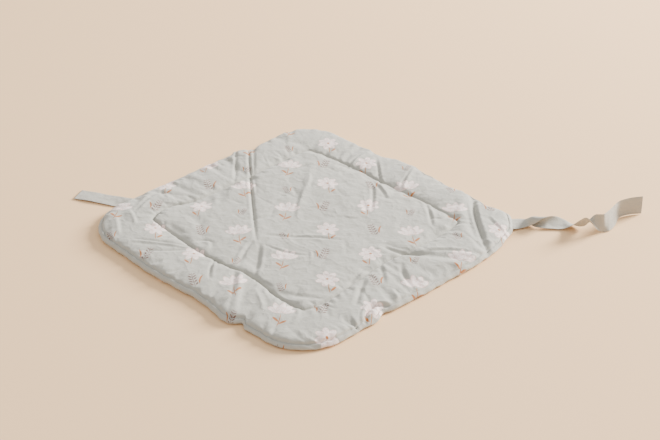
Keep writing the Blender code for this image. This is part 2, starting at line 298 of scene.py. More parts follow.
def panel_places(u, v):
    """Places inside the quilting line, from shares -1 to 1 along A and B."""
    bend_a = np.where(u > 0, bends_at(LINE_BENDS, "right", v * LINE_HALF),
                      bends_at(LINE_BENDS, "left", v * LINE_HALF))
    bend_b = np.where(v > 0, bends_at(LINE_BENDS, "top", u * LINE_HALF),
                      bends_at(LINE_BENDS, "bottom", u * LINE_HALF))
    corner = LINE_CORNER * np.abs(u * v) ** 8
    a = u * LINE_HALF + np.sign(u) * (u ** 4 * bend_a - corner)
    b = v * LINE_HALF + np.sign(v) * (v ** 4 * bend_b - corner)
    return np.stack((a, b), axis=-1)


side_shares = np.linspace(-1, 1, CELLS + 1)
grid_v, grid_u = np.meshgrid(side_shares, side_shares, indexing="ij")
panel_flat = panel_places(grid_u, grid_v).reshape(-1, 2)
border = np.concatenate([
    np.round((turned(side, 1.0, side_shares[:-1]) + 1) / 2 * CELLS).astype(int) @ (1, CELLS + 1)
    for side in SIDE_NAMES
])
line_flat = panel_flat[border]
edge_flat = np.concatenate([edge_places(side, side_shares[:-1]) for side in SIDE_NAMES])
RING_SIZE = len(border)
print("panel points", len(panel_flat), "ring points", RING_SIZE)

# %% [markdown]
# Next come the heights. Padding fills out fast beside a seam and then levels off, which is what
# `1 - exp(-distance / rise)` draws: most of it is quick, as the cotton bends over the thread, and the
# rest is slow, as the wadding swells. The seam is deepest on the near left side, where the panel has
# been pushed towards it. Thread also gathers the cloth as it is pulled tight, so small uneven waves
# run along each seam and die out a finger's width away. Three sines whose lengths don't fit each
# other never seem to repeat.


# %% Heights of the padding
QUICK_SHARE, SLOW_SHARE = 0.6, 0.4
QUICK_REACH, SLOW_REACH = 0.3, 1.8      # as shares of a seam's rise
MIDDLE_DEPTH, DEPTH_CHANGE = 0.95, 0.2  # of the quilting line, from the panel's middle to one side
LINE_WAVE, LINE_WAVE_REACH = 0.7 * MM, 9 * MM
TOPSTITCH_WAVE, TOPSTITCH_WAVE_REACH = 1.3 * MM, 8 * MM
GATHERS = (
    # strength, millimetres along the seam for each radian, start in radians
    (1.0, 7.3, 0.0),
    (0.8, 4.4, 1.3),
    (0.6, 11.9, 0.5),
)
EDGE_ROUNDNESS = 1.9


def fill_out(distance, rise):
    """Share of its full height that padding has at a distance from a seam."""
    quick = 1 - np.exp(-np.abs(distance) / (rise * QUICK_REACH))
    slow = 1 - np.exp(-np.abs(distance) / (rise * SLOW_REACH))
    return QUICK_SHARE * quick + SLOW_SHARE * slow


def seam_depth(places):
    """How deep the quilting line is at places in A and B, where 1 is usual."""
    return MIDDLE_DEPTH - DEPTH_CHANGE * np.clip(places[:, 1] / LINE_HALF, -1, 1)


def seam_waves(run, distance, reach):
    """Height of the small waves that a thread draws up beside a seam."""
    waves = sum(strength * np.sin(run / (length * MM) + start) for strength, length, start in GATHERS)
    swell = 0.6 + 0.4 * np.sin(run / (47 * MM))
    near = np.abs(distance) / reach
    return waves * swell * near * np.exp(1 - near)


ring_run = np.arange(RING_SIZE) * 2 * RUN_HALF / CELLS
depth = (1 - np.maximum(np.abs(grid_u), np.abs(grid_v))).reshape(-1) * LINE_HALF
panel_run = np.where(np.abs(grid_u) > np.abs(grid_v), grid_v * np.sign(grid_u),
                     -grid_u * np.sign(grid_v)).reshape(-1) * LINE_HALF
panel_hollow = (1 - fill_out(depth, PANEL_RISE)) * seam_depth(panel_flat)
panel_z = PANEL_HEIGHT - (PANEL_HEIGHT - LINE_HEIGHT) * panel_hollow
panel_z += LINE_WAVE * seam_waves(panel_run + 0.4, depth, LINE_WAVE_REACH)


def band_height(share, run):
    """Height of the band at a share of the way from the quilting line to the edge."""
    if share <= TOPSTITCH_SHARE:
        inner = share * BAND_WIDTH
        outer = (TOPSTITCH_SHARE - share) * BAND_WIDTH
        hollow = (BAND_HEIGHT - LINE_HEIGHT) * (1 - fill_out(inner, BAND_RISE)) * seam_depth(line_flat)
        hollow += (BAND_HEIGHT - TOPSTITCH_HEIGHT) * (1 - fill_out(outer, TOPSTITCH_RISE))
        waves = LINE_WAVE * seam_waves(run, inner, LINE_WAVE_REACH)
        waves += TOPSTITCH_WAVE * seam_waves(run + 0.7, outer, TOPSTITCH_WAVE_REACH)
        return BAND_HEIGHT - hollow + waves
    out = (share - TOPSTITCH_SHARE) / (1 - TOPSTITCH_SHARE)
    waves = EDGE_WAVE * np.sin(run / (6.1 * MM)) * np.sin(run / (23 * MM)) * out * 3
    return EDGE_HEIGHT + (TOPSTITCH_HEIGHT - EDGE_HEIGHT) * (1 - out ** EDGE_ROUNDNESS) + waves


side_run = side_shares[:-1] * RUN_HALF
lift = np.concatenate([
    bends_at(EDGE_LIFTS, side, side_run if side in ("right", "bottom") else -side_run)
    for side in SIDE_NAMES
])
ring_flat = [line_flat + (edge_flat - line_flat) * share for share in RING_SHARES]
ring_z = [band_height(share, ring_run) + lift * share ** 3 for share in RING_SHARES]
flat = np.concatenate([panel_flat] + ring_flat)
top_z = np.concatenate([panel_z] + ring_z)
print("heights", round(top_z.min() / MM, 1), "to", round(top_z.max() / MM, 1), "mm")

# %% [markdown]
# ## Folds and creases
#
# The wrap came folded, and was smoothed by hand, so it keeps a deep pleat, a fan of creases near its
# middle and many small ones in the band. Simulation alone would put folds wherever it liked. We want
# them where the real ones are, so each is a row in a table: a curve through three places in A and B,
# its half width, its height, and how far the cloth rises on its left and on its right. A sharp fold
# has a crest like a pitched roof, and a soft one is rounded.
#
# The soft ones go in first, before the padding is settled.

# %% Tables of folds
SOFT_FOLDS = (
    # name, start, middle, end, half width, height, lip on the left, lip on the right
    ("soft wavy ridge", (-195, 215), (-110, 105), (-15, -5), 9, 2.2, 0, 0),
    ("top band ridge", (-2, 385), (12, 340), (32, 300), 9, 3, 0, 0),
    ("right corner trough", (200, 372), (270, 270), (395, 190), 12, -6, 1, 1.5),
    ("fan, hollow", (5, -155), (35, -190), (68, -222), 15, -4, 0, 0),
    ("right band trough", (190, 55), (270, 78), (395, 165), 13, -5, 1, 1),
    ("bottom band, broad ridge", (45, -242), (112, -330), (160, -378), 14, 4, -2, 0),
    ("left corner, tall ridge", (-368, -160), (-332, -208), (-306, -256), 9, 2.5, -1, -1),
    ("left corner, low ridge", (-338, -258), (-308, -272), (-276, -290), 9, 2.5, 0, -1),
    ("left corner, edge ridge", (-328, -303), (-294, -324), (-255, -348), 9, 3, 0, -1),
    ("hollow by the left line", (-122, -198), (-108, -220), (-92, -243), 18, -2.5, 0, 0),
    ("broad swell, far", (-190, 140), (-20, 150), (170, 100), 55, 2.5, 0, 0),
    ("broad swell, near", (-150, -60), (-70, -110), (20, -165), 50, 1.5, 0, 0),
    ("broad swell, right", (60, 40), (150, -60), (220, -190), 50, 2, 0, 0),
    ("dip in the left band", (-330, 110), (-320, 60), (-315, 0), 40, -2.5, 0, 0),
    ("dip in the near corner", (150, -320), (240, -330), (320, -260), 45, -2, 0, 0),
    ("broad swell, left corner", (-330, -150), (-262, -238), (-180, -320), 48, 3.5, 0, 0),
)
SHARP_FOLDS = (
    ("long pleat", (-395, 178), (-195, 8), (-15, -140), 3.4, -9, 0.3, 1.4),
    ("pleat's own crease", (-392, 190), (-318, 128), (-243, 58), 2.8, -4.5, 0.3, 1),
    ("step by the pleat", (-395, 137), (-312, 61), (-250, 0), 3.2, -4.5, 0.5, 1.5),
    ("below the top line", (-243, 58), (-204, 30), (-172, 2), 3, -2.5, 0, 1.5),
    ("soft wavy ridge, far", (-155, 161), (-128, 136), (-104, 98), 3.6, 2.4, -1, 0),
    ("soft wavy ridge, near", (-108, 104), (-70, 50), (-22, -6), 4, 2, 0, -1),
    ("left corner line", (-345, -156), (-332, -200), (-308, -255), 3.4, -4, 2, 1),
    ("left corner, beside it", (-353, -141), (-330, -154), (-306, -166), 3, -3.5, 1, 0),
    ("left corner, first ridge", (-325, -298), (-290, -319), (-250, -345), 3.2, 2.6, -1.2, -0.5),
    ("left corner, second ridge", (-322, -262), (-291, -273), (-259, -291), 3.2, 2.6, -1.2, -0.5),
    ("near left, long", (-212, -340), (-156, -300), (-90, -258), 3.4, 3.2, -2.5, -1),
    ("near left, under it", (-178, -357), (-129, -314), (-89, -264), 3.6, -3, 0, 1),
    ("near left, dark crease", (-34, -243), (-8, -281), (30, -318), 3, -4.5, 1.5, 0.5),
    ("bottom band, broad", (33, -250), (86, -300), (155, -376), 6, -4.5, 3, 0),
    ("fan, first", (6, -137), (52, -128), (118, -99), 3, -2, 1, 0),
    ("fan, its hook", (99, -84), (113, -93), (123, -107), 3, 2.4, -1, 0),
    ("fan, high", (-27, -114), (50, -49), (134, 9), 4, -2.6, 1, 0.5),
    ("fan, third", (-6, -140), (46, -189), (88, -243), 4.2, -3.6, 2, 0),
    ("fan, hollow's edge", (-21, -144), (0, -188), (32, -234), 4, -4, 0, 2),
    ("above the bottom line", (-122, -251), (-93, -212), (-58, -238), 4, -2.5, 0, 1),
    ("top band, first", (-108, 258), (-122, 296), (-127, 330), 3.4, 3.2, -2.5, 0),
    ("top band, second", (-100, 340), (-40, 288), (2, 252), 3.2, -3.6, 1.5, 0),
    ("crease into the panel", (-16, 235), (28, 196), (79, 134), 3.6, -4, 1.5, 1),
    ("ridge under the line", (-26, 252), (23, 237), (70, 209), 3.6, 3.6, 0, -2),
    ("top band, third", (61, 264), (33, 315), (5, 374), 3.4, 3.2, -2.5, 0),
    ("crease by the right line", (133, 262), (173, 233), (222, 188), 3.6, -4.2, 2, 1),
    ("hook by the line's corner", (197, 214), (210, 228), (215, 250), 3, -2.4, 1, 0),
    ("right corner trough", (203, 360), (270, 288), (382, 198), 4.6, -8.5, 2, 3),
    ("right corner ridge", (284, 319), (326, 303), (366, 292), 3.4, 2.6, 0, -2),
    ("right corner, thin line", (282, 220), (325, 211), (370, 197), 2.8, -2, 1, 0),
    ("right band trough", (200, 48), (245, 60), (300, 108), 4, -4.6, 2.5, 0),
    ("right band trough, outwards", (280, 96), (318, 140), (370, 174), 4, -3, 1.5, 0),
    ("right band, upper", (271, 32), (322, -10), (368, -27), 4.2, -4.5, 1, 1.5),
    ("right band, second", (238, -4), (276, -33), (311, -66), 4, -3, 1.5, 0),
    ("beside the right line", (252, -112), (240, -79), (237, -46), 4, -3, 0, 1.5),
    ("right band, long", (258, -66), (294, -125), (320, -164), 4.6, -4, 1.5, 1),
    ("turned-over edge", (366, -104), (345, -147), (376, -190), 3, -10, 0, 4.5),
    ("nick by the near corner", (338, -200), (362, -212), (380, -208), 2.8, -4, 1, 0),
    ("near corner band", (272, -317), (334, -324), (357, -309), 5, -2.2, 1, 0),
    ("bottom band ridge", (120, -271), (159, -290), (200, -316), 5, 2.6, -1, 0),
)
SOFT_LIP, SHARP_LIP = 1.8, 2.2  # places of the lips, in half widths
FOLD_FADE = 0.6                 # how fast a fold rises from its two ends


def fold_curve(start, middle, end):
    """Points along the parabola through three places given in millimetres."""
    start, middle, end = (np.array(p) * MM for p in (start, middle, end))
    control = 2 * middle - (start + end) / 2
    t = np.linspace(0, 1, 13)[:, None]
    return (1 - t) ** 2 * start + 2 * t * (1 - t) * control + t ** 2 * end


def place_on_curve(points, curve):
    """For each point, its distance to the left of a curve and its share of the way along it."""
    span = np.diff(curve, axis=0)
    offset = points[:, None, :] - curve[None, :-1, :]
    along = np.clip((offset * span).sum(axis=2) / (span ** 2).sum(axis=1), 0, 1)
    distance = np.linalg.norm(offset - along[:, :, None] * span, axis=2)
    nearest = distance.argmin(axis=1)
    rows = np.arange(len(points))
    near_span, near_offset = span[nearest], offset[rows, nearest]
    cross = near_span[:, 0] * near_offset[:, 1] - near_span[:, 1] * near_offset[:, 0]
    return distance[rows, nearest] * np.sign(cross), (nearest + along[rows, nearest]) / len(span)


def fold_heights(points, folds, sharp):
    """Height that a table's folds add at each point (A, B)."""
    total = np.zeros(len(points))
    for _, start, middle, end, half, height, lip_left, lip_right in folds:
        curve = fold_curve(start, middle, end)
        margin = 6 * half * MM
        low, high = curve.min(axis=0) - margin, curve.max(axis=0) + margin
        near = ((points > low) & (points < high)).all(axis=1)
        if not near.any():
            continue
        left, share = place_on_curve(points[near], curve)
        across = left / (half * MM)
        crest = np.exp(-np.abs(across)) if sharp else np.exp(-across ** 2)
        lip = SHARP_LIP if sharp else SOFT_LIP
        shape = height * crest
        shape += lip_left * np.exp(-(across - lip) ** 2) + lip_right * np.exp(-(across + lip) ** 2)
        total[near] += shape * np.sin(math.pi * np.clip(share, 0, 1)) ** FOLD_FADE * MM
    return total


top_z[:-RING_SIZE] += fold_heights(flat[:-RING_SIZE], SOFT_FOLDS, sharp=False)
top_z[:-RING_SIZE] = np.maximum(top_z[:-RING_SIZE], LOWEST_TOP)
print("folds:", len(SOFT_FOLDS), "soft,", len(SHARP_FOLDS), "sharp")

# %% [markdown]
# ## One closed mesh, with a map of the uncut cloth
#
# Below the edge the cotton tucks in and lies flat on the surface. The underside stays open for now:
# one flat face will close it when the rest is finished, since nothing of it shows.
#
# A print is on the cloth before it is sewn, so it has to bend with every fold. That needs a UV map:
# for each corner of each face, the place on the flat cloth that it was cut from, in metres. We name
# the map Cut. Round the edge the cloth runs on outwards, so its places there keep growing.

# %% Build the mesh
TUCKS = (
    # in from the edge, height as a share of the edge's
    (1.0 * MM, 0.6),
    (3.5 * MM, 0.25),
    (9.0 * MM, 0.0),
)


CLOTH_PER_TUCK = 5 * MM       # cloth taken up from one row of a tuck to the next


def turned_by(places, angle):
    """Places turned about the middle of the square."""
    c, s = math.cos(angle), math.sin(angle)
    return places @ np.array(((c, s), (-s, c)))


def unit(vectors):
    """The vectors of an array at length one."""
    return vectors / np.linalg.norm(vectors, axis=-1, keepdims=True)


cut = turned_by(flat, TURN)
points = np.column_stack((cut, top_z))
outwards = unit(cut[-RING_SIZE:])
edge_points = points[-RING_SIZE:].copy()
for number, (inset, height_share) in enumerate(TUCKS, start=1):
    inwards = edge_points[:, :2] - outwards * inset
    points = np.vstack((points, np.column_stack((inwards, edge_points[:, 2] * height_share))))
    cut = np.vstack((cut, edge_points[:, :2] + outwards * CLOTH_PER_TUCK * number))

row = CELLS + 1
corner = (np.arange(CELLS)[:, None] * row + np.arange(CELLS)).reshape(-1)
faces = np.column_stack((corner, corner + 1, corner + row + 1, corner + row)).tolist()
rings = [border] + [np.arange(RING_SIZE) + len(panel_flat) + k * RING_SIZE
                    for k in range(len(RING_SHARES) + len(TUCKS))]
for inner, outer in zip(rings, rings[1:]):
    faces += np.column_stack((inner, outer, np.roll(outer, -1), np.roll(inner, -1))).tolist()

mesh = bpy.data.meshes.new("quilt_cloth")
mesh.from_pydata(points.tolist(), [], faces)
quilt = bpy.data.objects.new("quilt_cloth", mesh)
bpy.context.collection.objects.link(quilt)


def give_cut_map(mesh, places):
    """Store each point's place on the flat cloth as the UV map named Cut."""
    layer = mesh.uv_layers.new(name="Cut")
    corners = np.empty(len(mesh.loops), int)
    mesh.loops.foreach_get("vertex_index", corners)
    layer.data.foreach_set("uv", places[corners].astype(np.float32).reshape(-1))


give_cut_map(mesh, cut)
from_line = np.concatenate([depth] + [np.full(RING_SIZE, share * BAND_WIDTH) for share in RING_SHARES]
                           + [np.full(RING_SIZE, BAND_WIDTH)] * len(TUCKS))
from_topstitch = np.abs(from_line - TOPSTITCH_SHARE * BAND_WIDTH)
from_topstitch[:len(panel_flat)] = BAND_WIDTH
for name, values in (("from_line", from_line), ("from_topstitch", from_topstitch)):
    mesh.attributes.new(name, "FLOAT", "POINT").data.foreach_set("value", values.astype(np.float32))
print("quilt:", len(points), "points,", len(faces), "faces")

# %% [markdown]
# ## Let the padding settle
#
# Worked-out heights are too even: real padding pushes the cotton up and makes it wrinkle where thread
# holds it. So the mesh gets a short cloth simulation. Both seams, the edge and the underside are held,
# the rest is blown up a little from inside, and the cotton is made two per cent larger than the space
# it has, because a quilter eases it in. The spare cloth becomes soft wrinkles. Then we let each
# point move no more than a few millimetres, so that the wrap keeps its form.

# %% Settle
SETTLE_LIMIT = 2.8 * MM
SETTLE_FRAMES = 20


def select_only(target):
    """Make an object the only one that operators act on."""
    bpy.ops.object.select_all(action="DESELECT")
    target.select_set(True)
    bpy.context.view_layer.objects.active = target


def read_points(mesh):
    """Places of a mesh's points, one row for each."""
    values = np.empty(len(mesh.vertices) * 3, np.float32)
    mesh.vertices.foreach_get("co", values)
    return values.reshape(-1, 3)


def write_points(mesh, places):
    """Move a mesh's points to new places."""
    mesh.vertices.foreach_set("co", places.astype(np.float32).reshape(-1))
    mesh.update()


def settle(cloth, held):
    """Press the padding up from inside, with some points held, and return how far each one moved."""
    before = read_points(cloth.data)
    group = cloth.vertex_groups.new(name="held")
    group.add(held, 1.0, "REPLACE")
    modifier = cloth.modifiers.new("Settle", "CLOTH")
    rules = modifier.settings
    rules.quality = 5
    rules.mass = 0.15
    rules.tension_stiffness = 12
    rules.compression_stiffness = 12
    rules.shear_stiffness = 4
    rules.bending_stiffness = 0.3
    rules.use_pressure = True
    rules.uniform_pressure_force = 0.6
    rules.vertex_group_mass = "held"
    rules.shrink_min = -0.02
    rules.effector_weights.gravity = 0
    modifier.point_cache.frame_start = 1
    modifier.point_cache.frame_end = SETTLE_FRAMES
    for frame_number in range(1, SETTLE_FRAMES + 1):
        bpy.context.scene.frame_set(frame_number)
    select_only(cloth)
    bpy.ops.object.modifier_apply(modifier=modifier.name)
    bpy.context.scene.frame_set(1)

    move = read_points(cloth.data) - before
    length = np.linalg.norm(move, axis=1, keepdims=True)
    eased = SETTLE_LIMIT * np.tanh(length / SETTLE_LIMIT) / np.maximum(length, 1e-9)
    write_points(cloth.data, before + move * eased)
    cloth.vertex_groups.clear()
    return length


topstitch_ring = RING_SHARES.index(TOPSTITCH_SHARE) + 1
held_points = np.concatenate([border] + rings[topstitch_ring:])
moved = settle(quilt, held_points.tolist())
print("settled by up to", round(float(moved.max()) / MM, 1), "mm")

# %% [markdown]
# One level of subdivision halves the cells to about 2.5 mm, fine enough for creases. The sharp folds
# go in now, since a simulation would have rounded them. Their places come from the Cut map, which the
# subdivision has carried along to the new points. Each point's distance from the two seams was stored
# before, as an attribute of the mesh, and subdivision carries that along too, so that both seams can
# be pressed in once more with a sharp bottom.
#
# Washed cotton has no smooth part, so a few hundred small creases are scattered as well: some start at
# a seam and run straight away from it, and the others lie any way inside the panel. Their order comes
# from a numbered random source, so every run gives the same wrap.


# %% Subdivide, then crease
LINE_PRESS, LINE_PRESS_WIDTH = 4.0 * MM, 1.8 * MM
TOPSTITCH_PRESS, TOPSTITCH_PRESS_WIDTH = 2.8 * MM, 1.5 * MM
FADE_FROM, FADE_SPAN = 6 * MM, 3 * MM   # heights between which creases fade in above the edge
CREASE_SEED = 23


def apply_subdivision(target, levels):
    """Add one subdivision to a mesh for good."""
    modifier = target.modifiers.new("Finer", "SUBSURF")
    modifier.levels = levels
    modifier.render_levels = levels
    select_only(target)
    bpy.ops.object.modifier_apply(modifier=modifier.name)


def point_places(mesh):
    """Place on the flat cloth of each of a mesh's points, in the square's own axes."""
    corners = np.empty(len(mesh.loops), int)
    mesh.loops.foreach_get("vertex_index", corners)
    uv = np.empty(len(mesh.loops) * 2, np.float32)
    mesh.uv_layers["Cut"].data.foreach_get("uv", uv)
    places = np.zeros((len(mesh.vertices), 2))
    places[corners[::-1]] = uv.reshape(-1, 2)[::-1]
    return turned_by(places, -TURN)


def small_creases():
    """Rows like those of the sharp folds, scattered beside the seams and over the panel."""
    chance = np.random.default_rng(CREASE_SEED)
    scattered = []
    for number in range(84):
        angle = (number % 4) * math.pi / 2
        along = chance.uniform(-0.97, 0.97) * LINE_HALF / MM
        inwards = chance.random() < 0.42
        start = LINE_HALF / MM * 0.995
        reach = chance.uniform(10, 26) if inwards else chance.uniform(16, 62)
        stop = start - reach if inwards else start + reach
        scattered.append((angle, (start, along), (stop, along + chance.normal(0, 0.22) * reach),
                          chance.uniform(2.6, 4.2), chance.uniform(-2.0, -0.7)))
    for number in range(76):
        angle = (number % 4) * math.pi / 2
        along = chance.uniform(-0.78, 0.78) * SIDE / 2 / MM
        start = (LINE_HALF + BAND_WIDTH * TOPSTITCH_SHARE) / MM
        reach = chance.uniform(10, 42)
        scattered.append((angle, (start + 2, along),
                          (start - reach, along + chance.normal(0, 0.3) * reach),
                          chance.uniform(2.6, 4.4), chance.uniform(-2.4, -0.9)))
    for _ in range(110):
        middle = chance.uniform(-0.86, 0.86, 2) * LINE_HALF / MM
        way, half_length = chance.uniform(0, math.pi), chance.uniform(12, 46)
        step = np.array((math.cos(way), math.sin(way))) * half_length
        scattered.append((0, middle - step, middle + step, chance.uniform(3.4, 6.5),
                          chance.uniform(-1.9, 1.4)))
    made = []
    for angle, start, stop, half, height in scattered:
        start, stop = turned_by(np.array((start, stop)), angle)
        bow = np.array((start[1] - stop[1], stop[0] - start[0])) * chance.normal(0, 0.07)
        lip = abs(height) * chance.uniform(0, 0.5)
        made.append(("small", start, (start + stop) / 2 + bow, stop, half, height, lip, 0))
    return made


def press_seam(mesh, name, press, width):
    """How far a seam is pressed in at each point, from the stored distances to it."""
    distances = np.empty(len(mesh.vertices), np.float32)
    mesh.attributes[name].data.foreach_get("value", distances)
    return press * np.exp(-distances.astype(float) / width)


apply_subdivision(quilt, 1)
mesh = quilt.data
points = read_points(mesh).astype(float)
places = point_places(mesh)
fade = np.clip((points[:, 2] - FADE_FROM) / FADE_SPAN, 0, 1)
creases = small_creases()
points[:, 2] += fold_heights(places, SHARP_FOLDS, sharp=True) * fade
points[:, 2] += fold_heights(places, creases, sharp=True) * fade
points[:, 2] -= press_seam(mesh, "from_line", LINE_PRESS, LINE_PRESS_WIDTH) * seam_depth(places)
points[:, 2] -= press_seam(mesh, "from_topstitch", TOPSTITCH_PRESS, TOPSTITCH_PRESS_WIDTH) * fade
points[:, 2] = np.where(fade > 0, np.maximum(points[:, 2], LOWEST_TOP), points[:, 2])
points[:, 2] = np.maximum(points[:, 2], 0)
write_points(mesh, points)
mesh.shade_smooth()
print("quilt now:", len(mesh.vertices), "points,", len(creases), "small creases")

# %% [markdown]
# The cloth is still open underneath. In edit mode we select its only open edges, which Blender finds
# as the ones that aren't shared by two faces, and fill them with one flat face. Its own places on the
# map are simply where it lies.

# %% Close the underside
bpy.ops.object.mode_set(mode="EDIT")
bpy.ops.mesh.select_mode(type="EDGE")
bpy.ops.mesh.select_all(action="DESELECT")
bpy.ops.mesh.select_non_manifold()
bpy.ops.mesh.edge_face_add()
bpy.ops.object.mode_set(mode="OBJECT")
underside = mesh.polygons[len(mesh.polygons) - 1]
underside.use_smooth = False
for loop in underside.loop_indices:
    mesh.uv_layers["Cut"].data[loop].uv = mesh.vertices[mesh.loops[loop].vertex_index].co[:2]
print("underside has", underside.loop_total, "corners and faces", [round(x) for x in underside.normal])

# %% [markdown]
# ## The two ties
#
# Each tie is a flat tube of the same cotton, 45 mm wide, turned and pressed. The left one lies nearly
# flat and shows only its end. The right one is twisted over itself, so part of it stands on edge.
#
# Cloth that is turned over is hard to steer as a bent box. Instead each row of the table is one place
# along the tie, with where its two edges are, and how far the cloth between them bellies out. A
# smooth curve through the rows gives the rest, and both faces and round edges are built on it. The
# values are in millimetres.

# %% Courses of the ties
TIE_THICKNESS = 2 * MM
TIE_LOWEST = 0.25 * MM
TIE_RIGHT = (
    # near edge x, y, z, far edge x, y, z, belly
    (473.0, -11, 6, 473.0, 34, 6, 0),
    (496, -3, 3.2, 498, 41, 3, 2),
    (514, 1, 7, 508, 40, 3, 5),
    (531, -3, 18, 517, 24, 3, 14),
    (546, 0, 28, 528, 7, 3, 14),
    (562, 10, 29, 546, -2, 4, 10),
    (582, 30, 17, 568, -4, 4, 6),
    (603, 33, 6, 597, -7, 6, 2),
    (619, 19, 2, 614, -15, 20, 0),
    (636, 5, 5, 630, -20, 38, 0),
    (647, 0, 12, 641, -24, 46, 2),
    (655, -3, 31, 651, -26, 40, 6),
    (664, -6, 43, 662, -24, 23, 7),
    (673, -8, 45, 673, -18, 8, 5),
    (683, -9, 46, 684, -13, 1.2, 2),
    (698, 12, 43, 697, -11, 1.2, 2),
    (716, 38, 42, 718, 15, 1.2, 2),
    (732, 55, 45, 734, 51, 1.2, 0),
    (760, 67, 46, 762, 65, 1.2, 0),
    (789, 74, 46, 789, 70, 1.2, 0),
)
TIE_LEFT = (
    (-423, 87, 5.5, -415, 127, 6, 0),
    (-452, 95, 2.6, -438, 138, 3, 1),
    (-486, 107, 3.4, -472, 150, 1.4, 1),
    (-524, 120, 3.6, -509, 163, 1.4, 0),
    (-557, 131, 2.4, -543, 174, 1.4, 0),
)


def run_along(path):
    """Distance along a row of points, from its first one to each."""
    return np.concatenate(([0], np.cumsum(np.linalg.norm(np.diff(path, axis=0), axis=1))))


def smooth_course(rows, step):
    """The rows of a tie's table, read every step along smooth curves through them."""
    table = np.array(rows, float) * MM
    knots = run_along((table[:, :3] + table[:, 3:6]) / 2)
    slopes = np.gradient(table, knots, axis=0)
    at = np.linspace(0, knots[-1], round(knots[-1] / step) + 1)
    k = np.minimum(np.searchsorted(knots, at, side="right") - 1, len(knots) - 2)
    width = (knots[k + 1] - knots[k])[:, None]
    t = (at - knots[k])[:, None] / width
    return ((2 * t ** 3 - 3 * t ** 2 + 1) * table[k] + (t ** 3 - 2 * t ** 2 + t) * width * slopes[k]
            + (3 * t ** 2 - 2 * t ** 3) * table[k + 1] + (t ** 3 - t ** 2) * width * slopes[k + 1])


print("tie courses:", len(TIE_RIGHT), "and", len(TIE_LEFT), "rows")

# %% [markdown]
# The width is divided into twenty cells, closer together at the edges, where the cotton turns back on
# itself. The thickness is greatest in the middle and comes to nothing at both edges, so the section
# is a long soft lens. A ribbon with a Solidify modifier would do as well, but its edges would be cut
# square. A slight ripple of the edges and a sway of the whole keep it from looking like tape.

# %% Build the ties
TIE_WIDTH = 45 * MM
TIE_CELLS = 20
TIE_STEP = 2.2 * MM
RIPPLE, RIPPLE_REACH = 0.35 * MM, 9 * MM    # of the edges, where the seam draws them up
SWAY, SWAY_REACH = 0.3 * MM, 31 * MM        # of the whole width
FULLNESS = 5                                # how square the section's two edges are


def tie_surface(rows):
    """Middle surface of a tie, its directions across the cloth, and its places on the flat cloth."""
    course = smooth_course(rows, TIE_STEP)
    across = (1 - np.cos(np.linspace(0, math.pi, TIE_CELLS + 1))) / 2
    near, far, belly = course[:, None, :3], course[:, None, 3:6], course[:, None, 6:]
    shares = across[None, :, None]
    cloth = near * (1 - shares) + far * shares
    facing = unit(np.cross(np.gradient(cloth, axis=0), far - near))
    cloth = cloth + facing * belly * 4 * shares * (1 - shares)
    run = run_along(cloth[:, TIE_CELLS // 2])
    waves = RIPPLE * np.sin(run / RIPPLE_REACH)[:, None] * (1 - np.sin(math.pi * across))[None, :]
    waves = waves + SWAY * np.sin(run / SWAY_REACH + 1)[:, None] * np.cos(across * 5)[None, :]
    normal = unit(np.cross(np.gradient(cloth, axis=0), np.gradient(cloth, axis=1)))
    return cloth + normal * waves[:, :, None], normal, run, across


def build_tie(name, rows):
    """A flat tube of cotton along a tie's course."""
    cloth, normal, run, across = tie_surface(rows)
    half = TIE_THICKNESS / 2 * np.sqrt(1 - np.abs(2 * across - 1) ** FULLNESS)
    lower = cloth - normal * half[None, :, None]
    upper = cloth + normal * half[None, :, None]
    sections = np.concatenate((lower, upper[:, -2:0:-1]), axis=1)
    sections[:, :, 2] += np.maximum(0.0, TIE_LOWEST - sections[:, :, 2].min(axis=1))[:, None]
    count, size = sections.shape[:2]
    v = np.concatenate((across, 2 - across[-2:0:-1])) * TIE_WIDTH
    cut_places = np.stack(np.broadcast_arrays(run[:, None], v[None, :]), axis=-1).reshape(-1, 2)
    here = (np.arange(count - 1)[:, None] * size + np.arange(size)).reshape(-1)
    beside = (np.arange(count - 1)[:, None] * size + (np.arange(size) + 1) % size).reshape(-1)
    tie_faces = np.column_stack((here, here + size, beside + size, beside)).tolist()
    tie_faces += [list(range(size)), list(range((count - 1) * size, count * size))[::-1]]
    tie_mesh = bpy.data.meshes.new(name)
    tie_mesh.from_pydata(sections.reshape(-1, 3).tolist(), [], tie_faces)
    give_cut_map(tie_mesh, cut_places)
    tie = bpy.data.objects.new(name, tie_mesh)
    bpy.context.collection.objects.link(tie)
    tie_mesh.shade_smooth()
    print(name, "is", round(run[-1], 3), "m long,", len(tie_faces), "faces")
    return tie, run[-1]


tie_right, right_length = build_tie("tie_right_cloth", TIE_RIGHT)
tie_left, left_length = build_tie("tie_left_cloth", TIE_LEFT)

# %% [markdown]
# A tube built from sections may come out with its faces inwards, depending on which way its course
# runs. We could reckon the side from the order of the points, but Blender finds it by itself: in edit
# mode it turns all faces of a closed mesh outwards.


# %% Faces outwards
def face_outwards(target):
    """Turn a closed mesh's faces outwards."""
    select_only(target)
    bpy.ops.object.mode_set(mode="EDIT")
    bpy.ops.mesh.select_all(action="SELECT")
    bpy.ops.mesh.normals_make_consistent(inside=False)
    bpy.ops.object.mode_set(mode="OBJECT")


for piece in (tie_right, tie_left):
    face_outwards(piece)
print("turned", tie_right.name, "and", tie_left.name)

# %% [markdown]
# ## Thread
#
# Two seams show: the quilting line, and the stitching beside the edge. Close to, a machine stitch is a
# short thread that dips into the cloth at both ends. We could paint dashes, but real thread lies in
# its own small furrow, so each stitch is a closed spindle of five sections, half sunk in the cloth.
# Every seam is one joined mesh of them, with its path read from the finished quilt.

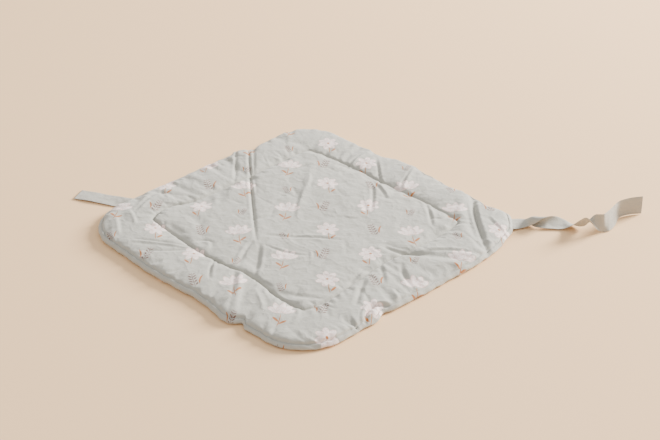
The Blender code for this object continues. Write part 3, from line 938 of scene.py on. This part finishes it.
# %% Stitches
STITCH_LENGTH = 3.0 * MM
STITCH_GAP = 0.9 * MM
THREAD_RADIUS = 0.3 * MM
THREAD_SWELL = np.array((0.25, 0.9, 1.0, 0.9, 0.25))    # thickness along one stitch
THREAD_RISE, THREAD_SINK = 1.5, 1.3                     # in radii of the thread
SIDES = 6


def stitch_row(name, ring_points):
    """Stitches along a closed row of points, as one mesh."""
    loop = np.vstack((ring_points, ring_points[:1]))
    run = run_along(loop)
    count = int(run[-1] // (STITCH_LENGTH + STITCH_GAP))
    sections = len(THREAD_SWELL)
    angles = np.arange(SIDES) * 2 * math.pi / SIDES
    made_points, made_faces = [], []
    for start in np.arange(count) * run[-1] / count:
        at = start + np.linspace(0, 1, sections) * STITCH_LENGTH
        middle = np.column_stack([np.interp(at, run, loop[:, axis]) for axis in range(3)])
        middle[:, 2] += THREAD_RADIUS * (THREAD_SWELL * THREAD_RISE - THREAD_SINK)
        direction = unit(middle[-1] - middle[0])
        side = unit(np.cross(direction, (0, 0, 1)))
        up = np.cross(side, direction)
        first = len(made_points)
        for centre, size in zip(middle, THREAD_SWELL * THREAD_RADIUS):
            for angle in angles:
                made_points.append(centre + size * (side * math.cos(angle) + up * math.sin(angle)))
        for section in range(first, first + (sections - 1) * SIDES, SIDES):
            for j in range(SIDES):
                a, b = section + j, section + (j + 1) % SIDES
                made_faces.append((a, b, b + SIDES, a + SIDES))
        made_faces.append(list(range(first, first + SIDES))[::-1])
        made_faces.append(list(range(first + (sections - 1) * SIDES, first + sections * SIDES)))
    stitch_mesh = bpy.data.meshes.new(name)
    stitch_mesh.from_pydata([tuple(p) for p in made_points], [], made_faces)
    stitches = bpy.data.objects.new(name, stitch_mesh)
    bpy.context.collection.objects.link(stitches)
    stitch_mesh.shade_smooth()
    face_outwards(stitches)
    print(name, "has", count, "stitches")
    return stitches


# %% [markdown]
# Subdivision keeps a mesh's first points first, so the rings that we built are still there under their
# old numbers, moved to where the finished cloth is.

# %% Sew both seams
quilting = stitch_row("quilting_thread", points[border])
topstitching = stitch_row("topstitching_thread", points[rings[topstitch_ring]])

# %% [markdown]
# ## The cotton
#
# The cloth is a plain-woven cotton in pale sage. Threads half a millimetre apart are too fine to see
# from here, but they take the shine off and show close to, so they are a bump of two crossed waves on
# the Cut map. A cloudy noise stands for the uneven way that cotton takes dye, and a coarser one for
# the faint crumples that are left when it isn't ironed. Sheen gives the soft light edge of brushed
# cotton: it is the same all over, so it is set on the shader's own socket.

# %% Weave
SAGE = (0.472, 0.460, 0.405, 1)
SAGE_SHADE = (0.400, 0.390, 0.340, 1)
TIE_SAGE = (0.430, 0.400, 0.340, 1)
THREAD_PITCH = 0.55 * MM
THREAD_RELIEF = 0.06 * MM
DYE_CLOUD = 12 * MM
CRUMPLE_HEIGHT = 4 * MM
CRUMPLE_SIZE, CREASE_SIZE = 30 * MM, 55 * MM
CREASE_SHARPNESS, CREASE_SHARE = 14, 0.22
COTTON_FINISH = {
    "Roughness": 0.92,
    "Specular IOR Level": 0.25,
    "Sheen Weight": 0.25,
    "Sheen Roughness": 0.5,
}


def cut_places_node(tree):
    """The place on the flat cloth, from the Cut map."""
    return add_node(tree, "ShaderNodeUVMap", uv_map="Cut").outputs["UV"]


def cloud(tree, place, size, detail):
    """A soft noise, 0 to 1, whose clouds are about as large as the size given."""
    sockets = {"Vector": place, "Scale": 1 / size, "Detail": detail}
    return add_node(tree, "ShaderNodeTexNoise", sockets, noise_dimensions="3D").outputs["Fac"]


def blend_colours(tree, under, over, share):
    """One colour laid over another, by a share from 0 to 1."""
    sockets = {0: share, 6: under, 7: over}
    return add_node(tree, "ShaderNodeMix", sockets, data_type="RGBA").outputs[2]


def bump(tree, **sockets):
    """The direction of a surface that is raised by a height."""
    return add_node(tree, "ShaderNodeBump", sockets).outputs[0]


def weave_bump(tree, place):
    """The direction of cloth with crossed threads and faint crumples."""
    parts = add_node(tree, "ShaderNodeSeparateXYZ", (place,))
    turns = 2 * math.pi / THREAD_PITCH
    warp = reckon(tree, "SINE", reckon(tree, "MULTIPLY", parts.outputs[0], turns))
    weft = reckon(tree, "SINE", reckon(tree, "MULTIPLY", parts.outputs[1], turns))
    threads = reckon(tree, "MULTIPLY", warp, weft)
    fine = bump(tree, Strength=0.5, Distance=THREAD_RELIEF, Height=threads)
    broad = cloud(tree, place, CRUMPLE_SIZE, 3)
    valley = reckon(tree, "ABSOLUTE", reckon(tree, "SUBTRACT", cloud(tree, place, CREASE_SIZE, 2), 0.5))
    crease = reckon(tree, "POWER", reckon(tree, "SUBTRACT", 1.0, valley), CREASE_SHARPNESS)
    height = reckon(tree, "MULTIPLY_ADD", crease, CREASE_SHARE, broad)
    return bump(tree, Strength=0.8, Distance=CRUMPLE_HEIGHT, Height=height, Normal=fine)


def dyed_cotton(tree, place, colour):
    """The cloudy colour of plain cotton."""
    return blend_colours(tree, SAGE_SHADE, colour, cloud(tree, place, DYE_CLOUD, 4))


def finish_cotton(tree, place, shader, colour):
    """Give cotton its colour, its weave, and what is the same all over it."""
    feed(tree, shader, {"Base Color": colour, "Normal": weave_bump(tree, place), **COTTON_FINISH})


tie_cotton, tree, shader = new_material("tie_cotton")
place = cut_places_node(tree)
finish_cotton(tree, place, shader, dyed_cotton(tree, place, TIE_SAGE))
print("weave pitch", THREAD_PITCH, "m")

# %% [markdown]
# ## The print
#
# A repeat of small motifs covers the cotton: white blossoms on ochre stems, open blossoms, and mauve
# sprigs with an ochre leaf, with tiny white dots between them. The repeat is a half drop, as printers
# use: every second column is shifted by half its height, so that no rows show.
#
# No picture file is used. Each petal, leaf and stem is a shape worked out from the place on the cloth.
# A spot is the simplest one: the place is moved, turned and scaled by a Mapping node of the Texture
# type, and its length is then 1 on the outline of an ellipse.

# %% Shapes that motifs are drawn with
REPEAT_WIDTH = 196 * MM
REPEAT_HEIGHT = 208 * MM


def local_frame(tree, place, centre, turn=0.0, scale=(1, 1)):
    """The place as seen from a centre, turned by degrees and scaled."""
    sockets = (place, (centre[0] * MM, centre[1] * MM, 0), (0, 0, math.radians(turn)), (*scale, 1))
    return add_node(tree, "ShaderNodeMapping", sockets, vector_type="TEXTURE").outputs[0]


def spot(tree, place, centre, half_size, turn=0.0):
    """0 in the middle of an ellipse and 1 on its outline. Sizes are millimetres."""
    inside = local_frame(tree, place, centre, turn, (half_size[0] * MM, half_size[1] * MM))
    return add_node(tree, "ShaderNodeVectorMath", (inside,), operation="LENGTH").outputs["Value"]


def stroke(tree, place, centre, half_length, half_width, turn=0.0, bend=0.0):
    """0 along a bent brush stroke and 1 on its outline, which narrows to both ends."""
    inside = local_frame(tree, place, centre, turn, (half_length * MM, half_width * MM))
    parts = add_node(tree, "ShaderNodeSeparateXYZ", (inside,))
    squared = reckon(tree, "MULTIPLY", parts.outputs[0], parts.outputs[0])
    across = reckon(tree, "ABSOLUTE", reckon(tree, "MULTIPLY_ADD", squared, -bend, parts.outputs[1]))
    return reckon(tree, "MULTIPLY_ADD", squared, squared, across)


def inked(tree, reach, soft=0.16):
    """1 inside a shape and 0 outside it, with a soft edge as ink has on cotton."""
    steps = add_node(tree, "ShaderNodeMapRange", (reach, 1.0, 1.0 - soft, 0.0, 1.0))
    return steps.outputs[0]


print("repeat", REPEAT_WIDTH, "by", REPEAT_HEIGHT, "m")

# %% [markdown]
# Motifs are laid over the cloth one shape at a time, each with its own colour. A petal is white with a
# pink rim, so that petals that overlap can still be told apart.

# %% Motifs
PETAL = (0.86, 0.755, 0.71, 1)
PETAL_WASH = (0.74, 0.58, 0.53, 1)
PETAL_RIM = (0.60, 0.38, 0.32, 1)
OCHRE = (0.40, 0.145, 0.040, 1)
MAUVE = (0.17, 0.085, 0.072, 1)
DOT = (0.74, 0.71, 0.67, 1)


def petal(tree, cloth, place, ink, centre, half_size, turn=0.0):
    """Lay one petal over the cloth, in ink that is thinner in places."""
    reach = spot(tree, place, centre, half_size, turn)
    body = add_node(tree, "ShaderNodeMapRange", (reach, 0.98, 0.8, 0.0, 1.0)).outputs[0]
    colour = blend_colours(tree, PETAL_RIM, blend_colours(tree, PETAL_WASH, PETAL, ink), body)
    return blend_colours(tree, cloth, colour, inked(tree, reach, 0.1))


def blossom_on_stem(tree, cloth, place, ink):
    """A half-open blossom of six petals, seen from the side, on an ochre stem with two leaves."""
    stem = stroke(tree, place, (1, -17), 15, 0.9, turn=88, bend=1.8)
    cloth = blend_colours(tree, cloth, OCHRE, inked(tree, stem, 0.3))
    for centre, turn in (((7, -20), 38), ((-6, -15), 142)):
        leaf = spot(tree, place, centre, (8, 2.3), turn)
        cloth = blend_colours(tree, cloth, OCHRE, inked(tree, leaf))
    for centre, half_size, turn in (
        ((-14, 6), (12.5, 5.2), 150), ((14, 6), (12.5, 5.2), 30), ((-9, 12), (13.5, 6), 122),
        ((9, 12), (13.5, 6), 58), ((0, 13.5), (14, 6.2), 90), ((-4.5, 7), (8.5, 4.6), 108),
    ):
        cloth = petal(tree, cloth, place, ink, centre, half_size, turn)
    return cloth


def open_blossom(tree, cloth, place, ink):
    """An open blossom: seven petals round, five shorter ones on them, and an ochre middle."""
    stem = stroke(tree, place, (-3, -24), 12, 0.9, turn=80, bend=-1.5)
    cloth = blend_colours(tree, cloth, OCHRE, inked(tree, stem, 0.3))
    leaf = spot(tree, place, (5, -27), (7.5, 2.3), 35)
    cloth = blend_colours(tree, cloth, OCHRE, inked(tree, leaf))
    parts = add_node(tree, "ShaderNodeSeparateXYZ", (place,))
    angle = reckon(tree, "ARCTAN2", parts.outputs[1], parts.outputs[0])
    radius = add_node(tree, "ShaderNodeVectorMath", (place,), operation="LENGTH").outputs["Value"]
    for count, start, centre, half_size in ((7, 0.3, 13, (9.5, 6.2)), (5, 0.9, 7.5, (6, 4.4))):
        half = math.pi / count
        folded = reckon(tree, "WRAP", reckon(tree, "ADD", angle, start), half, -half)
        x = reckon(tree, "MULTIPLY", radius, reckon(tree, "COSINE", folded))
        y = reckon(tree, "MULTIPLY", radius, reckon(tree, "SINE", folded))
        petal_place = add_node(tree, "ShaderNodeCombineXYZ", (x, y)).outputs[0]
        cloth = petal(tree, cloth, petal_place, ink, (centre, 0), half_size)
    return blend_colours(tree, cloth, OCHRE, inked(tree, spot(tree, place, (0, 0), (3, 2.6)), 0.35))


def sprig(tree, cloth, place):
    """A mauve sprig of paired leaves, with one ochre leaf beside it."""
    stem = stroke(tree, place, (0, 0), 21, 0.8, turn=90, bend=2.5)
    cloth = blend_colours(tree, cloth, MAUVE, inked(tree, stem, 0.3))
    parts = add_node(tree, "ShaderNodeSeparateXYZ", (place,))
    leaning = reckon(tree, "MULTIPLY_ADD", reckon(tree, "MULTIPLY", parts.outputs[1], parts.outputs[1]),
                     3.5, parts.outputs[0])
    aside = reckon(tree, "ABSOLUTE", leaning)
    step = reckon(tree, "WRAP", parts.outputs[1], 3.6 * MM, -3.6 * MM)
    paired = add_node(tree, "ShaderNodeCombineXYZ", (aside, step)).outputs[0]
    leaves = spot(tree, paired, (5.0, 0.6), (5.0, 1.6), 38)
    height = reckon(tree, "DIVIDE", reckon(tree, "ABSOLUTE", parts.outputs[1]), 18 * MM)
    cloth = blend_colours(tree, cloth, MAUVE, inked(tree, reckon(tree, "MAXIMUM", leaves, height), 0.25))
    leaf = stroke(tree, place, (-15, -2), 13, 2.1, turn=118, bend=1.2)
    return blend_colours(tree, cloth, OCHRE, inked(tree, leaf, 0.3))


# %% [markdown]
# Last, the motifs are put in their places in the repeat. The place on the cloth is wrapped into one
# repeat, and in every second column it is shifted and mirrored too. Four motifs a repeat, at uneven
# angles, look scattered though they aren't. An image would show its pixels close to, and these don't.

# %% Printed cotton
DOT_SPACING, DOT_RADIUS = 42 * MM, 1.1 * MM
INK_CLOUD = 7 * MM


def half_drop(tree, place):
    """The place inside one repeat, with every second column mirrored and shifted by half its height."""
    parts = add_node(tree, "ShaderNodeSeparateXYZ", (place,))
    columns = reckon(tree, "MULTIPLY_ADD", parts.outputs[0], 1 / REPEAT_WIDTH, 0.5)
    odd = reckon(tree, "WRAP", reckon(tree, "FLOOR", columns), 2, 0)
    shifted = reckon(tree, "MULTIPLY_ADD", odd, REPEAT_HEIGHT / 2, parts.outputs[1])
    x = reckon(tree, "WRAP", parts.outputs[0], REPEAT_WIDTH / 2, -REPEAT_WIDTH / 2)
    y = reckon(tree, "WRAP", shifted, REPEAT_HEIGHT / 2, -REPEAT_HEIGHT / 2)
    mirror = reckon(tree, "MULTIPLY_ADD", odd, -2, 1)
    x = reckon(tree, "MULTIPLY", x, mirror)
    return add_node(tree, "ShaderNodeCombineXYZ", (x, y)).outputs[0]


printed_cotton, tree, shader = new_material("printed_cotton")
place = cut_places_node(tree)
cloth = dyed_cotton(tree, place, SAGE)
dots = add_node(tree, "ShaderNodeTexVoronoi", {"Vector": place, "Scale": 1 / DOT_SPACING}, feature="F1")
dot_reach = reckon(tree, "MULTIPLY", dots.outputs["Distance"], DOT_SPACING / DOT_RADIUS)
cloth = blend_colours(tree, cloth, DOT, inked(tree, dot_reach, 0.4))
repeat = half_drop(tree, place)
brushed = cloud(tree, place, INK_CLOUD, 3)
ink = add_node(tree, "ShaderNodeMapRange", (brushed, 0.38, 0.56, 0.0, 1.0)).outputs[0]
cloth = blossom_on_stem(tree, cloth, local_frame(tree, repeat, (-46, 46), -8, (1.25, 1.5)), ink)
cloth = open_blossom(tree, cloth, local_frame(tree, repeat, (50, -36), 12, (1.2, 1.35)), ink)
cloth = sprig(tree, cloth, local_frame(tree, repeat, (44, 66), -14, (1.05, 1.3)))
cloth = sprig(tree, cloth, local_frame(tree, repeat, (-50, -64), 20, (-0.75, 0.9)))
finish_cotton(tree, place, shader, cloth)
print("print nodes:", len(tree.nodes))

# %% [markdown]
# The thread is the cloth's own sage, painted darker as painted shade for the furrow that it lies in, and
# a little smoother than the cloth. Its twist is a fine slanting wave. We could model the two plies, but
# a bump shows them well enough, and the same wave paints shade between the plies: darker in their
# grooves, lighter on their crests.
# Then each finish goes on its pieces.

# %% Thread finish, and all finishes on their pieces
# Painted shade: both thread colours are darker than the sage cloth, standing for the shade of the
# furrow; the darker one is also painted shade between the plies.
THREAD_PLY_SHADE, THREAD_FURROW_SHADE = (0.20, 0.20, 0.165, 1), (0.26, 0.26, 0.22, 1)
THREAD_ROUGHNESS, THREAD_SPECULAR = 0.85, 0.2
PLY_SCALE, PLY_UNEVENNESS, PLY_RELIEF = 500, 1.5, 0.05 * MM

sage_thread, tree, shader = new_material("sage_thread")
coordinates = add_node(tree, "ShaderNodeTexCoord").outputs["Object"]
sockets = {"Vector": coordinates, "Scale": PLY_SCALE, "Distortion": PLY_UNEVENNESS}
ply = add_node(tree, "ShaderNodeTexWave", sockets, wave_type="BANDS", bands_direction="DIAGONAL")
feed(tree, shader, {
    # Painted shade between the plies: darker where the wave is low, lighter on its crests.
    "Base Color": blend_colours(tree, THREAD_PLY_SHADE, THREAD_FURROW_SHADE, ply.outputs["Fac"]),
    "Roughness": THREAD_ROUGHNESS,
    "Specular IOR Level": THREAD_SPECULAR,
    "Normal": bump(tree, Distance=PLY_RELIEF, Height=ply.outputs["Fac"]),
})

quilt.data.materials.append(printed_cotton)
for piece in (tie_right, tie_left):
    piece.data.materials.append(tie_cotton)
for piece in (quilting, topstitching):
    piece.data.materials.append(sage_thread)
print("materials:", [m.name for m in bpy.data.materials if m.users])

# %% [markdown]
# ## Hand the pieces over
#
# Each piece rides on the model's one body, and the three cloth pieces stand for its three solids.

# %% Ride and replace
for piece in (quilt, tie_right, tie_left, quilting, topstitching):
    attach(piece, "root")
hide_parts("quilt")
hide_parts("tie_right")
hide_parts("tie_left")
